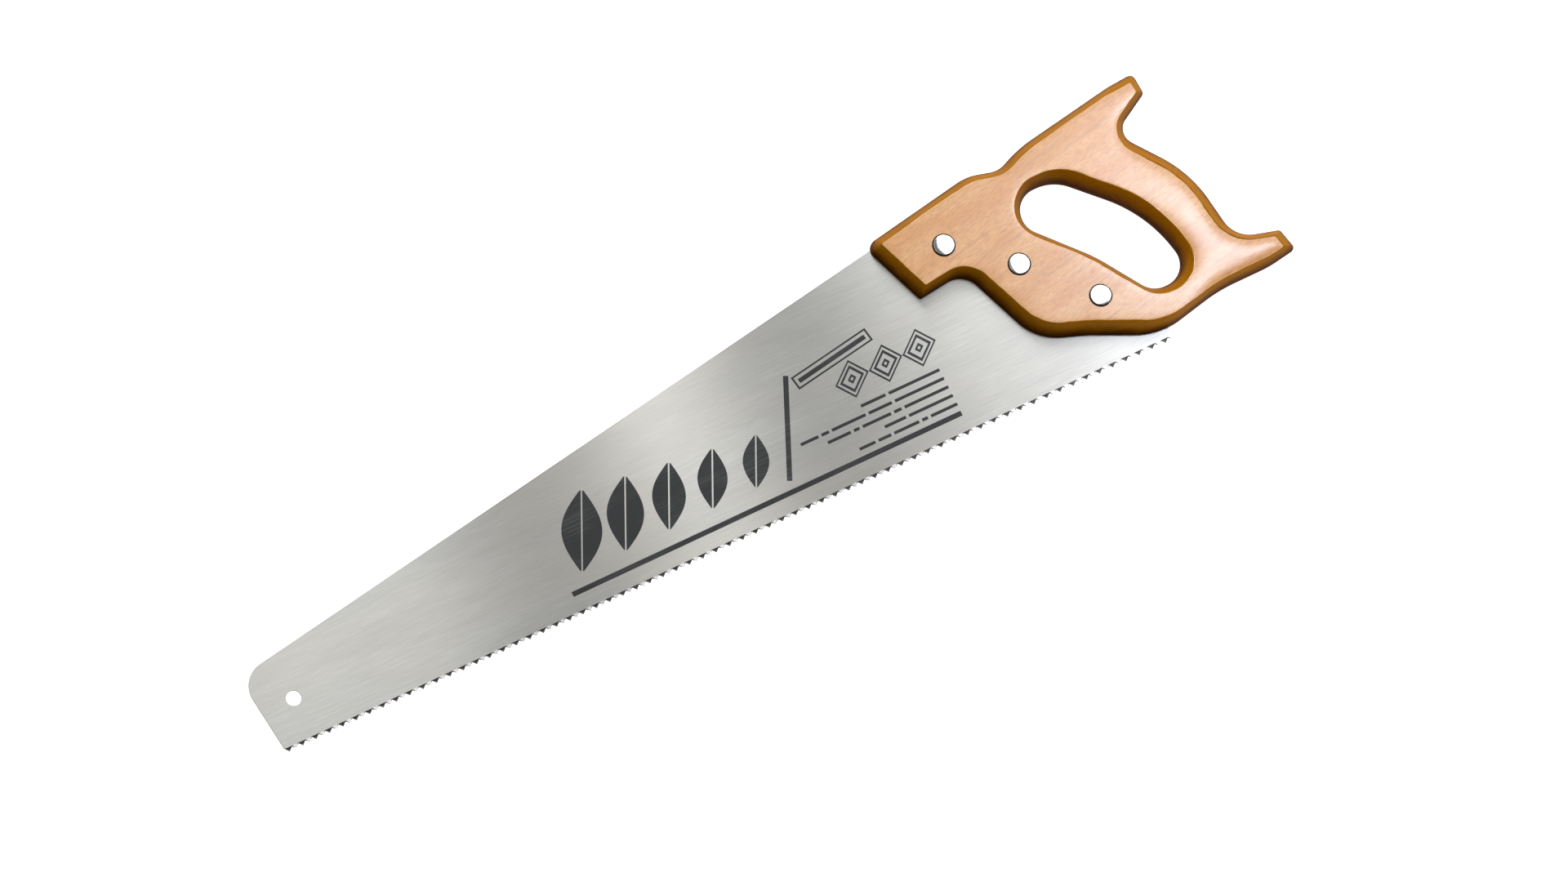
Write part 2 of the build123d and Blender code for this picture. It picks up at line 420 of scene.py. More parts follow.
def build_handle():
    shape = Shape()
    outer_rings = sloped_edge(shape, HANDLE_CORNERS)
    hole_rings = sloped_edge(shape, HOLE_CORNERS)
    front_mouths = flat_face(shape, 1, outer_rings[-1], hole_rings[-1])
    back_mouths = flat_face(shape, -1, outer_rings[0], hole_rings[0])
    for centre, front, back in zip(FASTENERS, front_mouths, back_mouths):
        rows = [front]
        for height, radius in BORE_STEPS[1:-1]:
            rows.append([shape.add(x, y, height, IN_BORE) for x, y in circle(centre, radius)])
        rows.append(back)
        for a, b in zip(rows, rows[1:]):
            shape.strip(a, b)
    mesh = shape.mesh("saw_handle", (wood_face(), wood_edge()))
    rim = mesh.attributes.new("rim", "FLOAT", "POINT")
    rim.data.foreach_set("value", np.array(shape.rims, np.float32))
    mesh.validate()
    face_outward(mesh, smooth=True)
    return new_object("saw_handle", mesh)


# slot for the blade, cut wider than the blade's heel
KERF = [(370.0, -8.0), (508.5, -8.0), (508.5, 4.0), (497.9, 27.4), (489.4, 38.4), (466.4, 64.4),
        (446.4, 84.4), (404.4, 110.9), (370.0, 105.5)]


def prism(name, outline_points, z_low, z_high):
    """Straight-sided solid over an outline, used for cutting."""
    n = len(outline_points)
    verts = [tuple(at(x, y, z)) for z in (z_low, z_high) for x, y in outline_points]
    faces = [tuple(range(n))[::-1], tuple(range(n, 2 * n))]
    faces += [(i, (i + 1) % n, n + (i + 1) % n, n + i) for i in range(n)]
    mesh = bpy.data.meshes.new(name)
    mesh.from_pydata(verts, [], faces)
    return new_object(name, mesh)


def apply_modifiers(obj):
    """Keep the modified mesh and drop the modifiers."""
    graph = bpy.context.evaluated_depsgraph_get()
    done = bpy.data.meshes.new_from_object(obj.evaluated_get(graph), preserve_all_data_layers=True,
                                           depsgraph=graph)
    obj.modifiers.clear()
    old = obj.data
    obj.data = done
    done.name = old.name + "_done"


def cut(obj, cutter):
    mod = obj.modifiers.new("cut", "BOOLEAN")
    mod.operation = "DIFFERENCE"
    mod.solver = "EXACT"
    mod.object = cutter
    apply_modifiers(obj)
    bpy.data.objects.remove(cutter)


# ---------------------------------------------------------------- materials

def new_material(name):
    mat = bpy.data.materials.new(name)
    mat.use_nodes = True
    tree = mat.node_tree
    tree.nodes.clear()
    out = tree.nodes.new("ShaderNodeOutputMaterial")
    shader = tree.nodes.new("ShaderNodeBsdfPrincipled")
    tree.links.new(shader.outputs["BSDF"], out.inputs["Surface"])
    return mat, tree, shader


def node(tree, kind, **settings):
    made = tree.nodes.new(kind)
    for key, value in settings.items():
        setattr(made, key, value)
    return made


def math_node(tree, operation, a, b):
    made = node(tree, "ShaderNodeMath", operation=operation)
    for socket, value in zip(made.inputs, (a, b)):
        if isinstance(value, (int, float)):
            socket.default_value = value
        else:
            tree.links.new(value, socket)
    return made.outputs[0]


def mix_colour(tree, share, a, b):
    made = node(tree, "ShaderNodeMix", data_type="RGBA")
    for socket, value in ((made.inputs[0], share), (made.inputs[6], a), (made.inputs[7], b)):
        if isinstance(value, (int, float)):
            socket.default_value = value
        elif isinstance(value, tuple):
            socket.default_value = (*value, 1.0)
        else:
            tree.links.new(value, socket)
    return made.outputs[2]


def ramp(tree, value, stops):
    """Smooth step between the first two stops, from 0 to 1 or between the other two."""
    made = node(tree, "ShaderNodeMapRange", clamp=True)
    made.interpolation_type = "SMOOTHSTEP"
    tree.links.new(value, made.inputs[0])
    made.inputs[1].default_value = stops[0]
    made.inputs[2].default_value = stops[1]
    made.inputs[3].default_value = stops[2] if len(stops) > 2 else 0.0
    made.inputs[4].default_value = stops[3] if len(stops) > 3 else 1.0
    return made.outputs[0]


def tinted(tree, colour, value, stops, strength, tint):
    """The colour with a tint laid over it where the value is high."""
    share = math_node(tree, "MULTIPLY", ramp(tree, value, stops), strength)
    return mix_colour(tree, share, colour, tint)


def add_bump(tree, shader, height, strength, distance, sockets=("Normal",)):
    bump = node(tree, "ShaderNodeBump")
    bump.inputs["Strength"].default_value = strength
    bump.inputs["Distance"].default_value = distance
    tree.links.new(height, bump.inputs["Height"])
    for socket in sockets:
        tree.links.new(bump.outputs[0], shader.inputs[socket])


def object_coords(tree):
    return node(tree, "ShaderNodeTexCoord").outputs["Object"]


def stretched_noise(tree, coords, angle, scale, detail=3.0, roughness=0.55, offset=0.0):
    """Noise drawn out along one direction of the plate; scale is features per metre."""
    turned = node(tree, "ShaderNodeMapping", vector_type="POINT")
    turned.inputs["Rotation"].default_value = (0.0, 0.0, -angle)
    tree.links.new(coords, turned.inputs["Vector"])
    mapping = node(tree, "ShaderNodeMapping", vector_type="POINT")
    mapping.inputs["Scale"].default_value = scale
    mapping.inputs["Location"].default_value = (offset, offset * 0.7, offset * 0.3)
    tree.links.new(turned.outputs[0], mapping.inputs["Vector"])
    noise = node(tree, "ShaderNodeTexNoise")
    noise.inputs["Scale"].default_value = 1.0
    noise.inputs["Detail"].default_value = detail
    noise.inputs["Roughness"].default_value = roughness
    tree.links.new(mapping.outputs[0], noise.inputs["Vector"])
    return noise.outputs[0]


GRAIN_ANGLE = math.radians(11.0)
BOTH_NORMALS = ("Normal", "Coat Normal")
WOOD_DARK, WOOD_LIGHT = (0.745, 0.343, 0.104), (0.83, 0.439, 0.167)
FIBRE_COLOUR = (0.50, 0.215, 0.080)
PORE_COLOUR = (0.28, 0.11, 0.04)
GRAIN_LINE_COLOUR = (0.55, 0.25, 0.095)
# painted highlight: cream colour laid along the edge of the flat face, where its arris catches light
RIM_HIGHLIGHT_COLOUR = (0.92, 0.62, 0.34)
# painted shade: near-black wood down inside the bores
BORE_SHADE_COLOUR = (0.03, 0.012, 0.004)
# amber stain; its dark end is painted shade, used towards mid thickness of the edge
STAIN_PAINTED_SHADE, STAIN_LIGHT = (0.054, 0.0118, 0.0003), (0.40, 0.146, 0.001)
STAIN_STREAK_COLOUR = (0.15, 0.050, 0.0015)
# painted highlight: pale colour on the stained band just below the arris, where the edge catches light
ARRIS_HIGHLIGHT_COLOUR = (0.90, 0.60, 0.30)


def wood_face():
    mat, tree, shader = new_material("varnished_wood_face")
    coords = object_coords(tree)
    figure = stretched_noise(tree, coords, GRAIN_ANGLE, (25, 90, 60), 3.0, offset=3.1)
    fibre = stretched_noise(tree, coords, GRAIN_ANGLE + 0.05, (230, 1500, 500), 3.0, 0.6, offset=1.7)
    pores = stretched_noise(tree, coords, GRAIN_ANGLE, (330, 2300, 700), 1.0, 0.5, offset=8.3)
    lines = stretched_noise(tree, coords, GRAIN_ANGLE + 0.03, (30, 620, 200), 2.0, 0.5, offset=2.9)
    colour = mix_colour(tree, ramp(tree, figure, (0.35, 0.65)), WOOD_DARK, WOOD_LIGHT)
    colour = tinted(tree, colour, fibre, (0.40, 0.70), 0.60, FIBRE_COLOUR)
    colour = tinted(tree, colour, pores, (0.60, 0.76), 0.27, PORE_COLOUR)
    colour = tinted(tree, colour, lines, (0.54, 0.70), 0.45, GRAIN_LINE_COLOUR)
    rim = node(tree, "ShaderNodeAttribute", attribute_name="rim").outputs["Fac"]
    patch = stretched_noise(tree, coords, 0.0, (70, 70, 70), 2.0, offset=6.1)
    # painted highlight: a cream line along the edge of the face, broken up by the patch noise
    rim_highlight = math_node(tree, "MULTIPLY", ramp(tree, rim, (0.45, 0.05)),
                     ramp(tree, patch, (0.42, 0.62, 0.05, 0.65)))
    colour = mix_colour(tree, rim_highlight, colour, RIM_HIGHLIGHT_COLOUR)
    # painted shade: the wood turns near-black down inside the bores
    colour = mix_colour(tree, ramp(tree, rim, (-0.5, -4.0)), colour, BORE_SHADE_COLOUR)
    tree.links.new(colour, shader.inputs["Base Color"])
    shader.inputs["Roughness"].default_value = 0.5
    shader.inputs["Specular IOR Level"].default_value = 0.15
    shader.inputs["Coat Weight"].default_value = 1.0
    shader.inputs["Coat Roughness"].default_value = 0.25
    shader.inputs["Coat IOR"].default_value = 1.6
    add_bump(tree, shader, fibre, 0.22, 0.0002, BOTH_NORMALS)
    return mat


def wood_edge():
    mat, tree, shader = new_material("amber_stained_edge")
    coords = object_coords(tree)
    rim = node(tree, "ShaderNodeAttribute", attribute_name="rim").outputs["Fac"]
    patch = stretched_noise(tree, coords, GRAIN_ANGLE, (60, 160, 220), 3.0, offset=5.2)
    streak = stretched_noise(tree, coords, GRAIN_ANGLE, (60, 500, 900), 3.0, offset=2.4)
    wander = math_node(tree, "MULTIPLY", math_node(tree, "SUBTRACT", patch, 0.5), 0.35)
    height = math_node(tree, "ADD", rim, wander)
    # painted shade: the stain darkens from the face towards mid thickness, on every side of the band alike
    colour = mix_colour(tree, ramp(tree, height, (-0.92, -0.12)), STAIN_PAINTED_SHADE, STAIN_LIGHT)
    colour = tinted(tree, colour, streak, (0.50, 0.78), 0.35, STAIN_STREAK_COLOUR)
    # painted highlight: a pale line on the band right at the arris, broken up by the patch noise
    arris_highlight = math_node(tree, "MULTIPLY", ramp(tree, rim, (-0.022, -0.004)),
                      ramp(tree, patch, (0.42, 0.62, 0.1, 0.8)))
    colour = mix_colour(tree, arris_highlight, colour, ARRIS_HIGHLIGHT_COLOUR)
    tree.links.new(colour, shader.inputs["Base Color"])
    shader.inputs["Roughness"].default_value = 0.45
    shader.inputs["IOR"].default_value = 1.05
    tree.links.new(ramp(tree, rim, (-0.7, -0.1, 0.01, 0.08)), shader.inputs["Coat Weight"])
    shader.inputs["Coat IOR"].default_value = 1.4
    shader.inputs["Coat Roughness"].default_value = 0.14
    add_bump(tree, shader, patch, 0.25, 0.0003, BOTH_NORMALS)
    return mat


STEEL_DARK, STEEL_LIGHT = (0.55, 0.55, 0.525), (0.68, 0.675, 0.645)
SCRATCH_COLOUR = (0.85, 0.85, 0.82)
CLOUD_COLOUR = (0.50, 0.50, 0.48)
WARM_COLOUR = (0.66, 0.615, 0.55)
INK_COLOUR, WORN_INK_COLOUR = (0.028, 0.030, 0.031), (0.16, 0.17, 0.17)


def brushed(tree, shader, coords):
    """Lengthwise brushing: streak noise and a highlight drawn out across the streaks."""
    streak = stretched_noise(tree, coords, 0.0, (45, 2200, 400), 4.0, 0.65, offset=1.3)
    tangent = node(tree, "ShaderNodeTangent", direction_type="UV_MAP", uv_map="brushing")
    tree.links.new(tangent.outputs[0], shader.inputs["Tangent"])
    shader.inputs["Anisotropic"].default_value = 0.95
    shader.inputs["Roughness"].default_value = 0.32
    add_bump(tree, shader, streak, 0.25, 0.00002)
    return streak


def steel():
    mat, tree, shader = new_material("brushed_steel_plate")
    coords = object_coords(tree)
    streak = brushed(tree, shader, coords)
    scratch = stretched_noise(tree, coords, math.radians(3.0), (80, 3200, 400), 2.0, 0.5, offset=6.3)
    cloud = stretched_noise(tree, coords, 0.0, (16, 60, 20), 4.0, 0.55, offset=4.4)
    tint = stretched_noise(tree, coords, 0.0, (9, 22, 10), 2.0, 0.5, offset=7.2)
    colour = mix_colour(tree, ramp(tree, streak, (0.25, 0.75)), STEEL_DARK, STEEL_LIGHT)
    colour = tinted(tree, colour, scratch, (0.64, 0.78), 0.5, SCRATCH_COLOUR)
    colour = tinted(tree, colour, cloud, (0.35, 0.65), 0.32, CLOUD_COLOUR)
    colour = tinted(tree, colour, tint, (0.40, 0.65), 0.30, WARM_COLOUR)
    tree.links.new(colour, shader.inputs["Base Color"])
    shader.inputs["Metallic"].default_value = 1.0
    return mat


def ground_steel(name, dark, light):
    """Steel with file marks across the blade."""
    mat, tree, shader = new_material(name)
    coords = object_coords(tree)
    file_marks = stretched_noise(tree, coords, math.pi / 2, (300, 4000, 900), 3.0, offset=7.7)
    colour = mix_colour(tree, ramp(tree, file_marks, (0.3, 0.7)), dark, light)
    tree.links.new(colour, shader.inputs["Base Color"])
    shader.inputs["Metallic"].default_value = 1.0
    tree.links.new(ramp(tree, file_marks, (0.3, 0.7, 0.20, 0.32)), shader.inputs["Roughness"])
    return mat


def ink():
    mat, tree, shader = new_material("worn_dark_ink")
    coords = object_coords(tree)
    streak = brushed(tree, shader, coords)
    cloud = stretched_noise(tree, coords, 0.0, (25, 60, 30), 3.0, 0.5, offset=9.4)
    worn = math_node(tree, "MULTIPLY", ramp(tree, streak, (0.40, 0.80)), ramp(tree, cloud, (0.40, 0.65)))
    colour = mix_colour(tree, math_node(tree, "MULTIPLY", worn, 0.8), INK_COLOUR, WORN_INK_COLOUR)
    tree.links.new(colour, shader.inputs["Base Color"])
    tree.links.new(math_node(tree, "MULTIPLY", worn, 0.7), shader.inputs["Metallic"])
    shader.inputs["Roughness"].default_value = 0.45
    return mat


def bright_metal(name, dark, light):
    """Polished metal with faint wear."""
    mat, tree, shader = new_material(name)
    coords = object_coords(tree)
    noise = stretched_noise(tree, coords, 0.4, (700, 900, 900), 3.0, offset=2.0)
    colour = mix_colour(tree, ramp(tree, noise, (0.3, 0.7)), dark, light)
    tree.links.new(colour, shader.inputs["Base Color"])
    shader.inputs["Metallic"].default_value = 1.0
    tree.links.new(ramp(tree, noise, (0.3, 0.7, 0.06, 0.10)), shader.inputs["Roughness"])
    return mat


# ---------------------------------------------------------------- blade

BACK_HEIGHT_AT_TOE = 46.03
BACK_SLOPE = 0.15965
TOE_LEAN = -0.0945
TOE_X = -1.28
BACK_START_X = -1.3           # where the back edge starts in the CAD source
TOE_TOP_Y = (BACK_HEIGHT_AT_TOE + BACK_SLOPE * BACK_START_X) / (1 - BACK_SLOPE * TOE_LEAN)
HANG_HOLE = (14.7, 24.1)
HANG_HOLE_RADIUS = 3.97
SHANK_HOLE_RADIUS = 2.7
BLADE_STEP = 1.5
TOOTH_COUNT = 134
TOOTH_START = -1.2
TOOTH_END = 506.0
TOOTH_DEPTH = 2.5
TOOTH_SET = 0.25
TOOTH_BEVEL = 0.46            # half the slant of each gullet across the plate
TOOTH_INNER_RISE = 0.62
TOOTH_UNEVEN = 0.05
FAR_TOOTH_SHORTER = 0.22      # teeth bent away from the viewer
EDGE_BREAK = 0.1
EDGE_LEVEL_HEIGHTS = (BLADE_LOW, BLADE_LOW + EDGE_BREAK, BLADE_TOP - EDGE_BREAK, BLADE_TOP)
EDGE_LEVEL_INSETS = (EDGE_BREAK, 0.0, 0.0, EDGE_BREAK)
FILED, SHADED_STEEL, SHADED_EDGE = 1, 2, 3   # material slots of the blade; slot 0 is the brushed plate; the two shaded slots hold steel painted dark as shade
BLADE_CORNERS = [
    (TOE_X + TOE_LEAN * TOOTH_DEPTH, TOOTH_DEPTH, 0.3, 0.0),
    (506.2, TOOTH_DEPTH, 0.12, 0.0),
    (497.5, 27.0, 10.0, 0.0),
    (489.0, 38.0, 20.0, 0.0),
    (466.0, 64.0, 20.0, 0.0),
    (446.0, 84.0, 6.0, 0.0),
    (404.0, BACK_HEIGHT_AT_TOE + BACK_SLOPE * 404.0, 3.0, 0.0),
    (TOE_X + TOE_LEAN * TOE_TOP_Y, TOE_TOP_Y, 14.0, 0.0),
]


def fill(loops, keep):
    """Triangles between closed loops of known vertices; keep says which side of the loops is solid."""
    points, ids, edges = [], [], []
    for coords, known in loops:
        start = len(points)
        n = len(coords)
        points += [Vector((float(x), float(y))) for x, y in coords]
        ids += list(known)
        edges += [(start + i, start + (i + 1) % n) for i in range(n)]
    coords, _, tris, origin = delaunay_2d_cdt(points, edges, [], 0, 1e-6)[:4]
    faces = []
    for tri in tris:
        if keep(sum(coords[k][0] for k in tri) / 3, sum(coords[k][1] for k in tri) / 3):
            faces.append(tuple(ids[origin[k][0]] for k in tri))
    return faces


def blade_edge(shape):
    """Edge of the plate, left open along the teeth. Returns its rows and the first place past the gap."""
    counts = [(steps, 1) for steps, _ in outline_counts(BLADE_CORNERS, BLADE_STEP)]
    edge = outline(BLADE_CORNERS, 0.0, counts)
    first = counts[0][0] + 1
    rows = [[shape.add(x + nx * inset, y + ny * inset, z) for x, y, nx, ny in edge]
            for z, inset in zip(EDGE_LEVEL_HEIGHTS, EDGE_LEVEL_INSETS)]
    # painted shade: the edge walls of the plate get a dark copy of the steel
    n = len(edge)
    for a, b in zip(rows, rows[1:]):
        for i in range(n):
            if i != first - 1:
                j = (i + 1) % n
                shape.face((a[i], a[j], b[j], b[i]), SHADED_EDGE)
    return rows, first


def blade_teeth(shape, rows, first):
    """Teeth bent to each side in turn. Returns the gullet vertices on the top and on the bottom."""
    pitch = (TOOTH_END - TOOTH_START) / TOOTH_COUNT
    gullets = []
    for j in range(TOOTH_COUNT + 1):
        x = TOOTH_START + j * pitch
        slant = 0.0 if j in (0, TOOTH_COUNT) else (TOOTH_BEVEL if j % 2 else -TOOTH_BEVEL)
        gullets.append((x + slant, x - slant))
    top = [shape.add(x, TOOTH_DEPTH, BLADE_TOP) for x, _ in gullets]
    bottom = [shape.add(x, TOOTH_DEPTH, BLADE_LOW) for _, x in gullets]
    shape.face([row[first - 1] for row in rows] + [top[0], bottom[0]])
    shape.face([row[first] for row in rows[::-1]] + [bottom[-1], top[-1]])
    for j in range(TOOTH_COUNT):
        side = 1 if j % 2 else -1
        middle = TOOTH_START + (j + 0.5) * pitch + TOOTH_UNEVEN * math.sin(j * 2.7)
        wear = TOOTH_UNEVEN * (1 + math.sin(j * 1.9)) + (0.0 if side > 0 else FAR_TOOTH_SHORTER)
        outer_z = HALF + side * (BLADE_THICKNESS / 2 + TOOTH_SET)
        inner_z = HALF - side * (BLADE_THICKNESS / 2 - TOOTH_SET * 0.75)
        outer = shape.add(middle, wear, outer_z)
        inner = shape.add(middle, wear + TOOTH_INNER_RISE, inner_z)
        up, down = (outer, inner) if side > 0 else (inner, outer)
        # painted shade: a tooth bent away gets the dark steel on its face, and every gullet side gets it too
        shape.face((top[j], up, top[j + 1]), FILED if side > 0 else SHADED_STEEL)
        shape.face((bottom[j + 1], down, bottom[j]), FILED)
        shape.face((top[j], bottom[j], down, up), SHADED_STEEL)
        shape.face((top[j + 1], up, down, bottom[j + 1]), SHADED_STEEL)
    return top, bottom


def blade_holes(shape, holes):
    """Walls of the holes. Each gets a row of vertices at every edge level."""
    hole_rows = []
    for centre, radius, lip in holes:
        # painted shade: the hole walls get a dark copy of the steel
        steps = zip(EDGE_LEVEL_HEIGHTS, (lip, 0.0, 0.0, lip))
        rows = [[shape.add(x, y, z) for x, y in circle(centre, radius + extra)] for z, extra in steps]
        for a, b in zip(rows, rows[1:]):
            shape.strip(a, b, SHADED_EDGE)
        hole_rows.append(rows)
    return hole_rows


def build_blade():
    shape = Shape()
    rows, first = blade_edge(shape)
    top, bottom = blade_teeth(shape, rows, first)
    holes = [(HANG_HOLE, HANG_HOLE_RADIUS, EDGE_BREAK)]
    holes += [(centre, SHANK_HOLE_RADIUS, 0.0) for centre in FASTENERS]
    hole_rows = blade_holes(shape, holes)
    centres = [(c[0] + SHIFT[0], c[1] + SHIFT[1], r + EDGE_BREAK + STRAY / 2) for c, r, _ in holes]

    def flat(ids):
        """The vertices in frame millimetres."""
        return [(shape.verts[k][0] * 1000, shape.verts[k][1] * 1000) for k in ids]

    for level, teeth_row in ((-1, top), (0, bottom)):
        ids = rows[level][:first] + teeth_row + rows[level][first:]
        boundary = np.array(flat(ids))

        def keep(x, y):
            if any(math.hypot(x - cx, y - cy) < r for cx, cy, r in centres):
                return False
            return inside((x, y), boundary)

        loops = [(flat(ids), ids)] + [(flat(hole[level]), hole[level]) for hole in hole_rows]
        for tri in fill(loops, keep):
            shape.face(tri if level else tri[::-1])

    mesh = shape.mesh("saw_blade", (
        steel(),
        ground_steel("filed_tooth_steel", (0.55, 0.55, 0.53), (0.78, 0.78, 0.77)),
        # painted shade: dark copies of the filed steel for the gullet sides and the plate's edge walls
        ground_steel("shaded_gullet_steel", (0.09, 0.09, 0.085), (0.20, 0.195, 0.18)),
        ground_steel("shaded_plate_edge", (0.13, 0.12, 0.11), (0.26, 0.245, 0.225)),
    ))
    face_outward(mesh, brushing=True)
    return new_object("saw_blade", mesh)


# ---------------------------------------------------------------- bolts and nuts

HEAD_RADIUS = 5.6
HEAD_TOP = 23.8
HEAD_SEAT = 21.4
RIM_WIDE = 0.5
RIM_HIGH = 0.8
NECK_HALF_WIDTH = 3.0
NECK_END = 17.4
SHANK_RADIUS = 2.5
SHANK_END = 3.4
NUT_FACE = 0.15
NUT_RIM = 0.4
NUT_SEAT = 2.4
SLEEVE_RADIUS = 3.5
SLEEVE_END = 10.4
THREAD_RADIUS = 2.6
THREAD_END = 2.0
NUT_SLOT_WIDTH = 1.6
NUT_SLOT_REACH = 8            # from the middle of the nut, past its edge on both sides
NUT_SLOT_DEPTH = 1.0
FLAT_NORMAL = 0.97            # faces at least this level belong to a flat end
SHARP_METAL_ANGLE = 30


def lathe(name, centre, profile, material, sides=BORE_SIDES):
    """Closed turned piece. A profile point is radius, height and whether its section is square."""
    shape = Shape()
    rows = []
    for radius, z, square in profile:
        if radius == 0:
            rows.append([shape.add(*centre, z)])
            continue
        row = []
        for k in range(sides):
            a = 2 * math.pi * (k + 0.5) / sides
            r = radius / max(abs(math.cos(a)), abs(math.sin(a))) if square else radius
            row.append(shape.add(centre[0] + r * math.cos(a), centre[1] + r * math.sin(a), z))
        rows.append(row)
    for a, b in zip(rows, rows[1:]):
        for i in range(sides):
            j = (i + 1) % sides
            if len(a) == 1:
                shape.face((a[0], b[i], b[j]))
            elif len(b) == 1:
                shape.face((a[i], b[0], a[j]))
            else:
                shape.face((a[i], b[i], b[j], a[j]))
    mesh = shape.mesh(name, (material,))
    face_outward(mesh)
    return new_object(name, mesh)


def rounded_rim(radius, z, wide, high, steps, way):
    """Quarter of an oval from the flat face out to the side wall."""
    points = []
    for k in range(steps + 1):
        a = math.pi / 2 * k / steps
        points.append((radius - wide + wide * math.sin(a), z - way * high * (1 - math.cos(a)), False))
    return points


def finish_metal(obj, shaded_side_material):
    """Smooth shading, and a dark copy of the metal, painted shade, on every face that is not one of the flat
    ends.
    """
    obj.data.materials.append(shaded_side_material)
    for poly in obj.data.polygons:
        poly.material_index = 0 if abs(poly.normal.z) > FLAT_NORMAL else 1
        poly.use_smooth = True
    obj.data.set_sharp_from_angle(angle=math.radians(SHARP_METAL_ANGLE))


def build_bolt(name, centre, material, shaded_side_material):
    profile = [(0, HEAD_TOP, False), (SHANK_RADIUS, HEAD_TOP, False)]
    profile += rounded_rim(HEAD_RADIUS, HEAD_TOP, RIM_WIDE, RIM_HIGH, 8, 1)
    profile += [(HEAD_RADIUS, HEAD_SEAT, False), (NECK_HALF_WIDTH, HEAD_SEAT, True),
                (NECK_HALF_WIDTH, NECK_END, True), (SHANK_RADIUS, NECK_END, False),
                (SHANK_RADIUS, SHANK_END + 0.5, False), (SHANK_RADIUS - 0.4, SHANK_END, False),
                (0, SHANK_END, False)]
    obj = lathe(name, centre, profile, material)
    finish_metal(obj, shaded_side_material)
    return obj


def build_nut(name, centre, material, shaded_side_material):
    profile = [(0, NUT_FACE, False), (SHANK_RADIUS, NUT_FACE, False)]
    profile += rounded_rim(HEAD_RADIUS, NUT_FACE, NUT_RIM, NUT_RIM, 5, -1)
    profile += [(HEAD_RADIUS, NUT_SEAT, False), (SLEEVE_RADIUS, NUT_SEAT, False),
                (SLEEVE_RADIUS, SLEEVE_END - 0.3, False), (SLEEVE_RADIUS - 0.2, SLEEVE_END, False),
                (THREAD_RADIUS, SLEEVE_END, False), (THREAD_RADIUS, THREAD_END, False),
                (0, THREAD_END, False)]
    obj = lathe(name, centre, profile, material)
    x, y = centre
    slot_outline = bar(x - NUT_SLOT_REACH, y, x + NUT_SLOT_REACH, y, NUT_SLOT_WIDTH)
    slot = prism(name + "_slot", slot_outline, -1.0, NUT_FACE + NUT_SLOT_DEPTH)
    slot.data.materials.append(material)
    cut(obj, slot)
    finish_metal(obj, shaded_side_material)
    return obj


# ---------------------------------------------------------------- print

INK_LOW = BLADE_TOP - 0.005    # the print reaches just into the plate, so no gap shows
INK_HIGH = BLADE_TOP + 0.02
RULE = (166.6, 11.8, 388.7, 11.9)
STROKE = (293.3, 17.6, 316.6, 67.4)
RULE_WIDTH = 2.7
LEAF_COUNT = 5
FIRST_LEAF = (176.0, 19.5, 40.0)        # x, foot, height
LEAF_CHANGE = (100.0, 1.5, -14.0)       # from the first leaf to the last
LEAF_LEAN = 0.50
LEAF_WIDTH = 0.52
VEIN_WIDTH = 0.8
LEAF_STEPS = 28
LOZENGE_COUNT = 3
FIRST_LOZENGE = (346.5, 51.6)
LOZENGE_PITCH = 19.2
LOZENGE_SIZE = (9.6, 9.8, 2.5)          # half width, half height, lean
LOZENGE_RINGS = ((1.0, 0.87), (0.72, 0.54), (0.26, 0.10))
# slanted bar in a thin frame: its two ends and its width
FRAME_OUTER = (319.0, 61.6, 365.0, 69.0, 7.4)
FRAME_INNER = (320.0, 61.8, 364.0, 68.8, 5.6)
FRAMED_BAR = (321.5, 62.0, 362.5, 68.6, 2.4)
DASH_WIDTH = 1.6
DASH_GAP = 1.8
DASH_TOP = 36.9
DASH_ROW_PITCH = 4.95
DASH_END = 389
# rows of dashes from the top: where the row starts and where its gaps are
DASH_ROWS = ((344, (359,)), (307, (318, 324, 345, 360)), (320, (334, 339, 357, 363)), (350, (363,)),
             (333, (343, 352, 368, 373)))


def ink_piece(name, polygons, bands, material):
    """Thin printed shapes: filled polygons, and bands between two loops of equal count."""
    shape = Shape()

    def row(points, z):
        return [shape.add(x, y, z) for x, y in points]

    for points in polygons:
        low, high = row(points, INK_LOW), row(points, INK_HIGH)
        shape.face(high)
        shape.face(low[::-1])
        shape.strip(low, high)
    for outer, inner in bands:
        outer_low, outer_high = row(outer, INK_LOW), row(outer, INK_HIGH)
        inner_low, inner_high = row(inner, INK_LOW), row(inner, INK_HIGH)
        shape.strip(outer_high, inner_high)
        shape.strip(inner_low, outer_low)
        shape.strip(outer_low, outer_high)
        shape.strip(inner_high, inner_low)
    mesh = shape.mesh(name, (material,))
    face_outward(mesh, brushing=True)
    obj = new_object(name, mesh)
    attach(obj, "root")
    return obj


def leaf(base, tip, width, vein):
    """Two halves of a pointed leaf, parted by a plain vein."""
    ux, uy = unit(*base, *tip)
    length = math.hypot(tip[0] - base[0], tip[1] - base[1])
    steps = [0.03 + 0.94 * k / LEAF_STEPS for k in range(LEAF_STEPS + 1)]
    edge = [(t, width / 2 * math.sin(math.pi * t)) for t in steps]
    edge += [(steps[-1], vein / 2), (steps[0], vein / 2)]
    return [[(base[0] + ux * t * length - side * uy * out,
              base[1] + uy * t * length + side * ux * out) for t, out in edge]
            for side in (-1, 1)]


def lozenge(x, y, share):
    """Leaning lozenge at a share of the full size."""
    half_wide, half_high, lean = (size * share for size in LOZENGE_SIZE)
    return [(x - half_wide, y), (x - lean, y - half_high), (x + half_wide, y), (x + lean, y + half_high)]


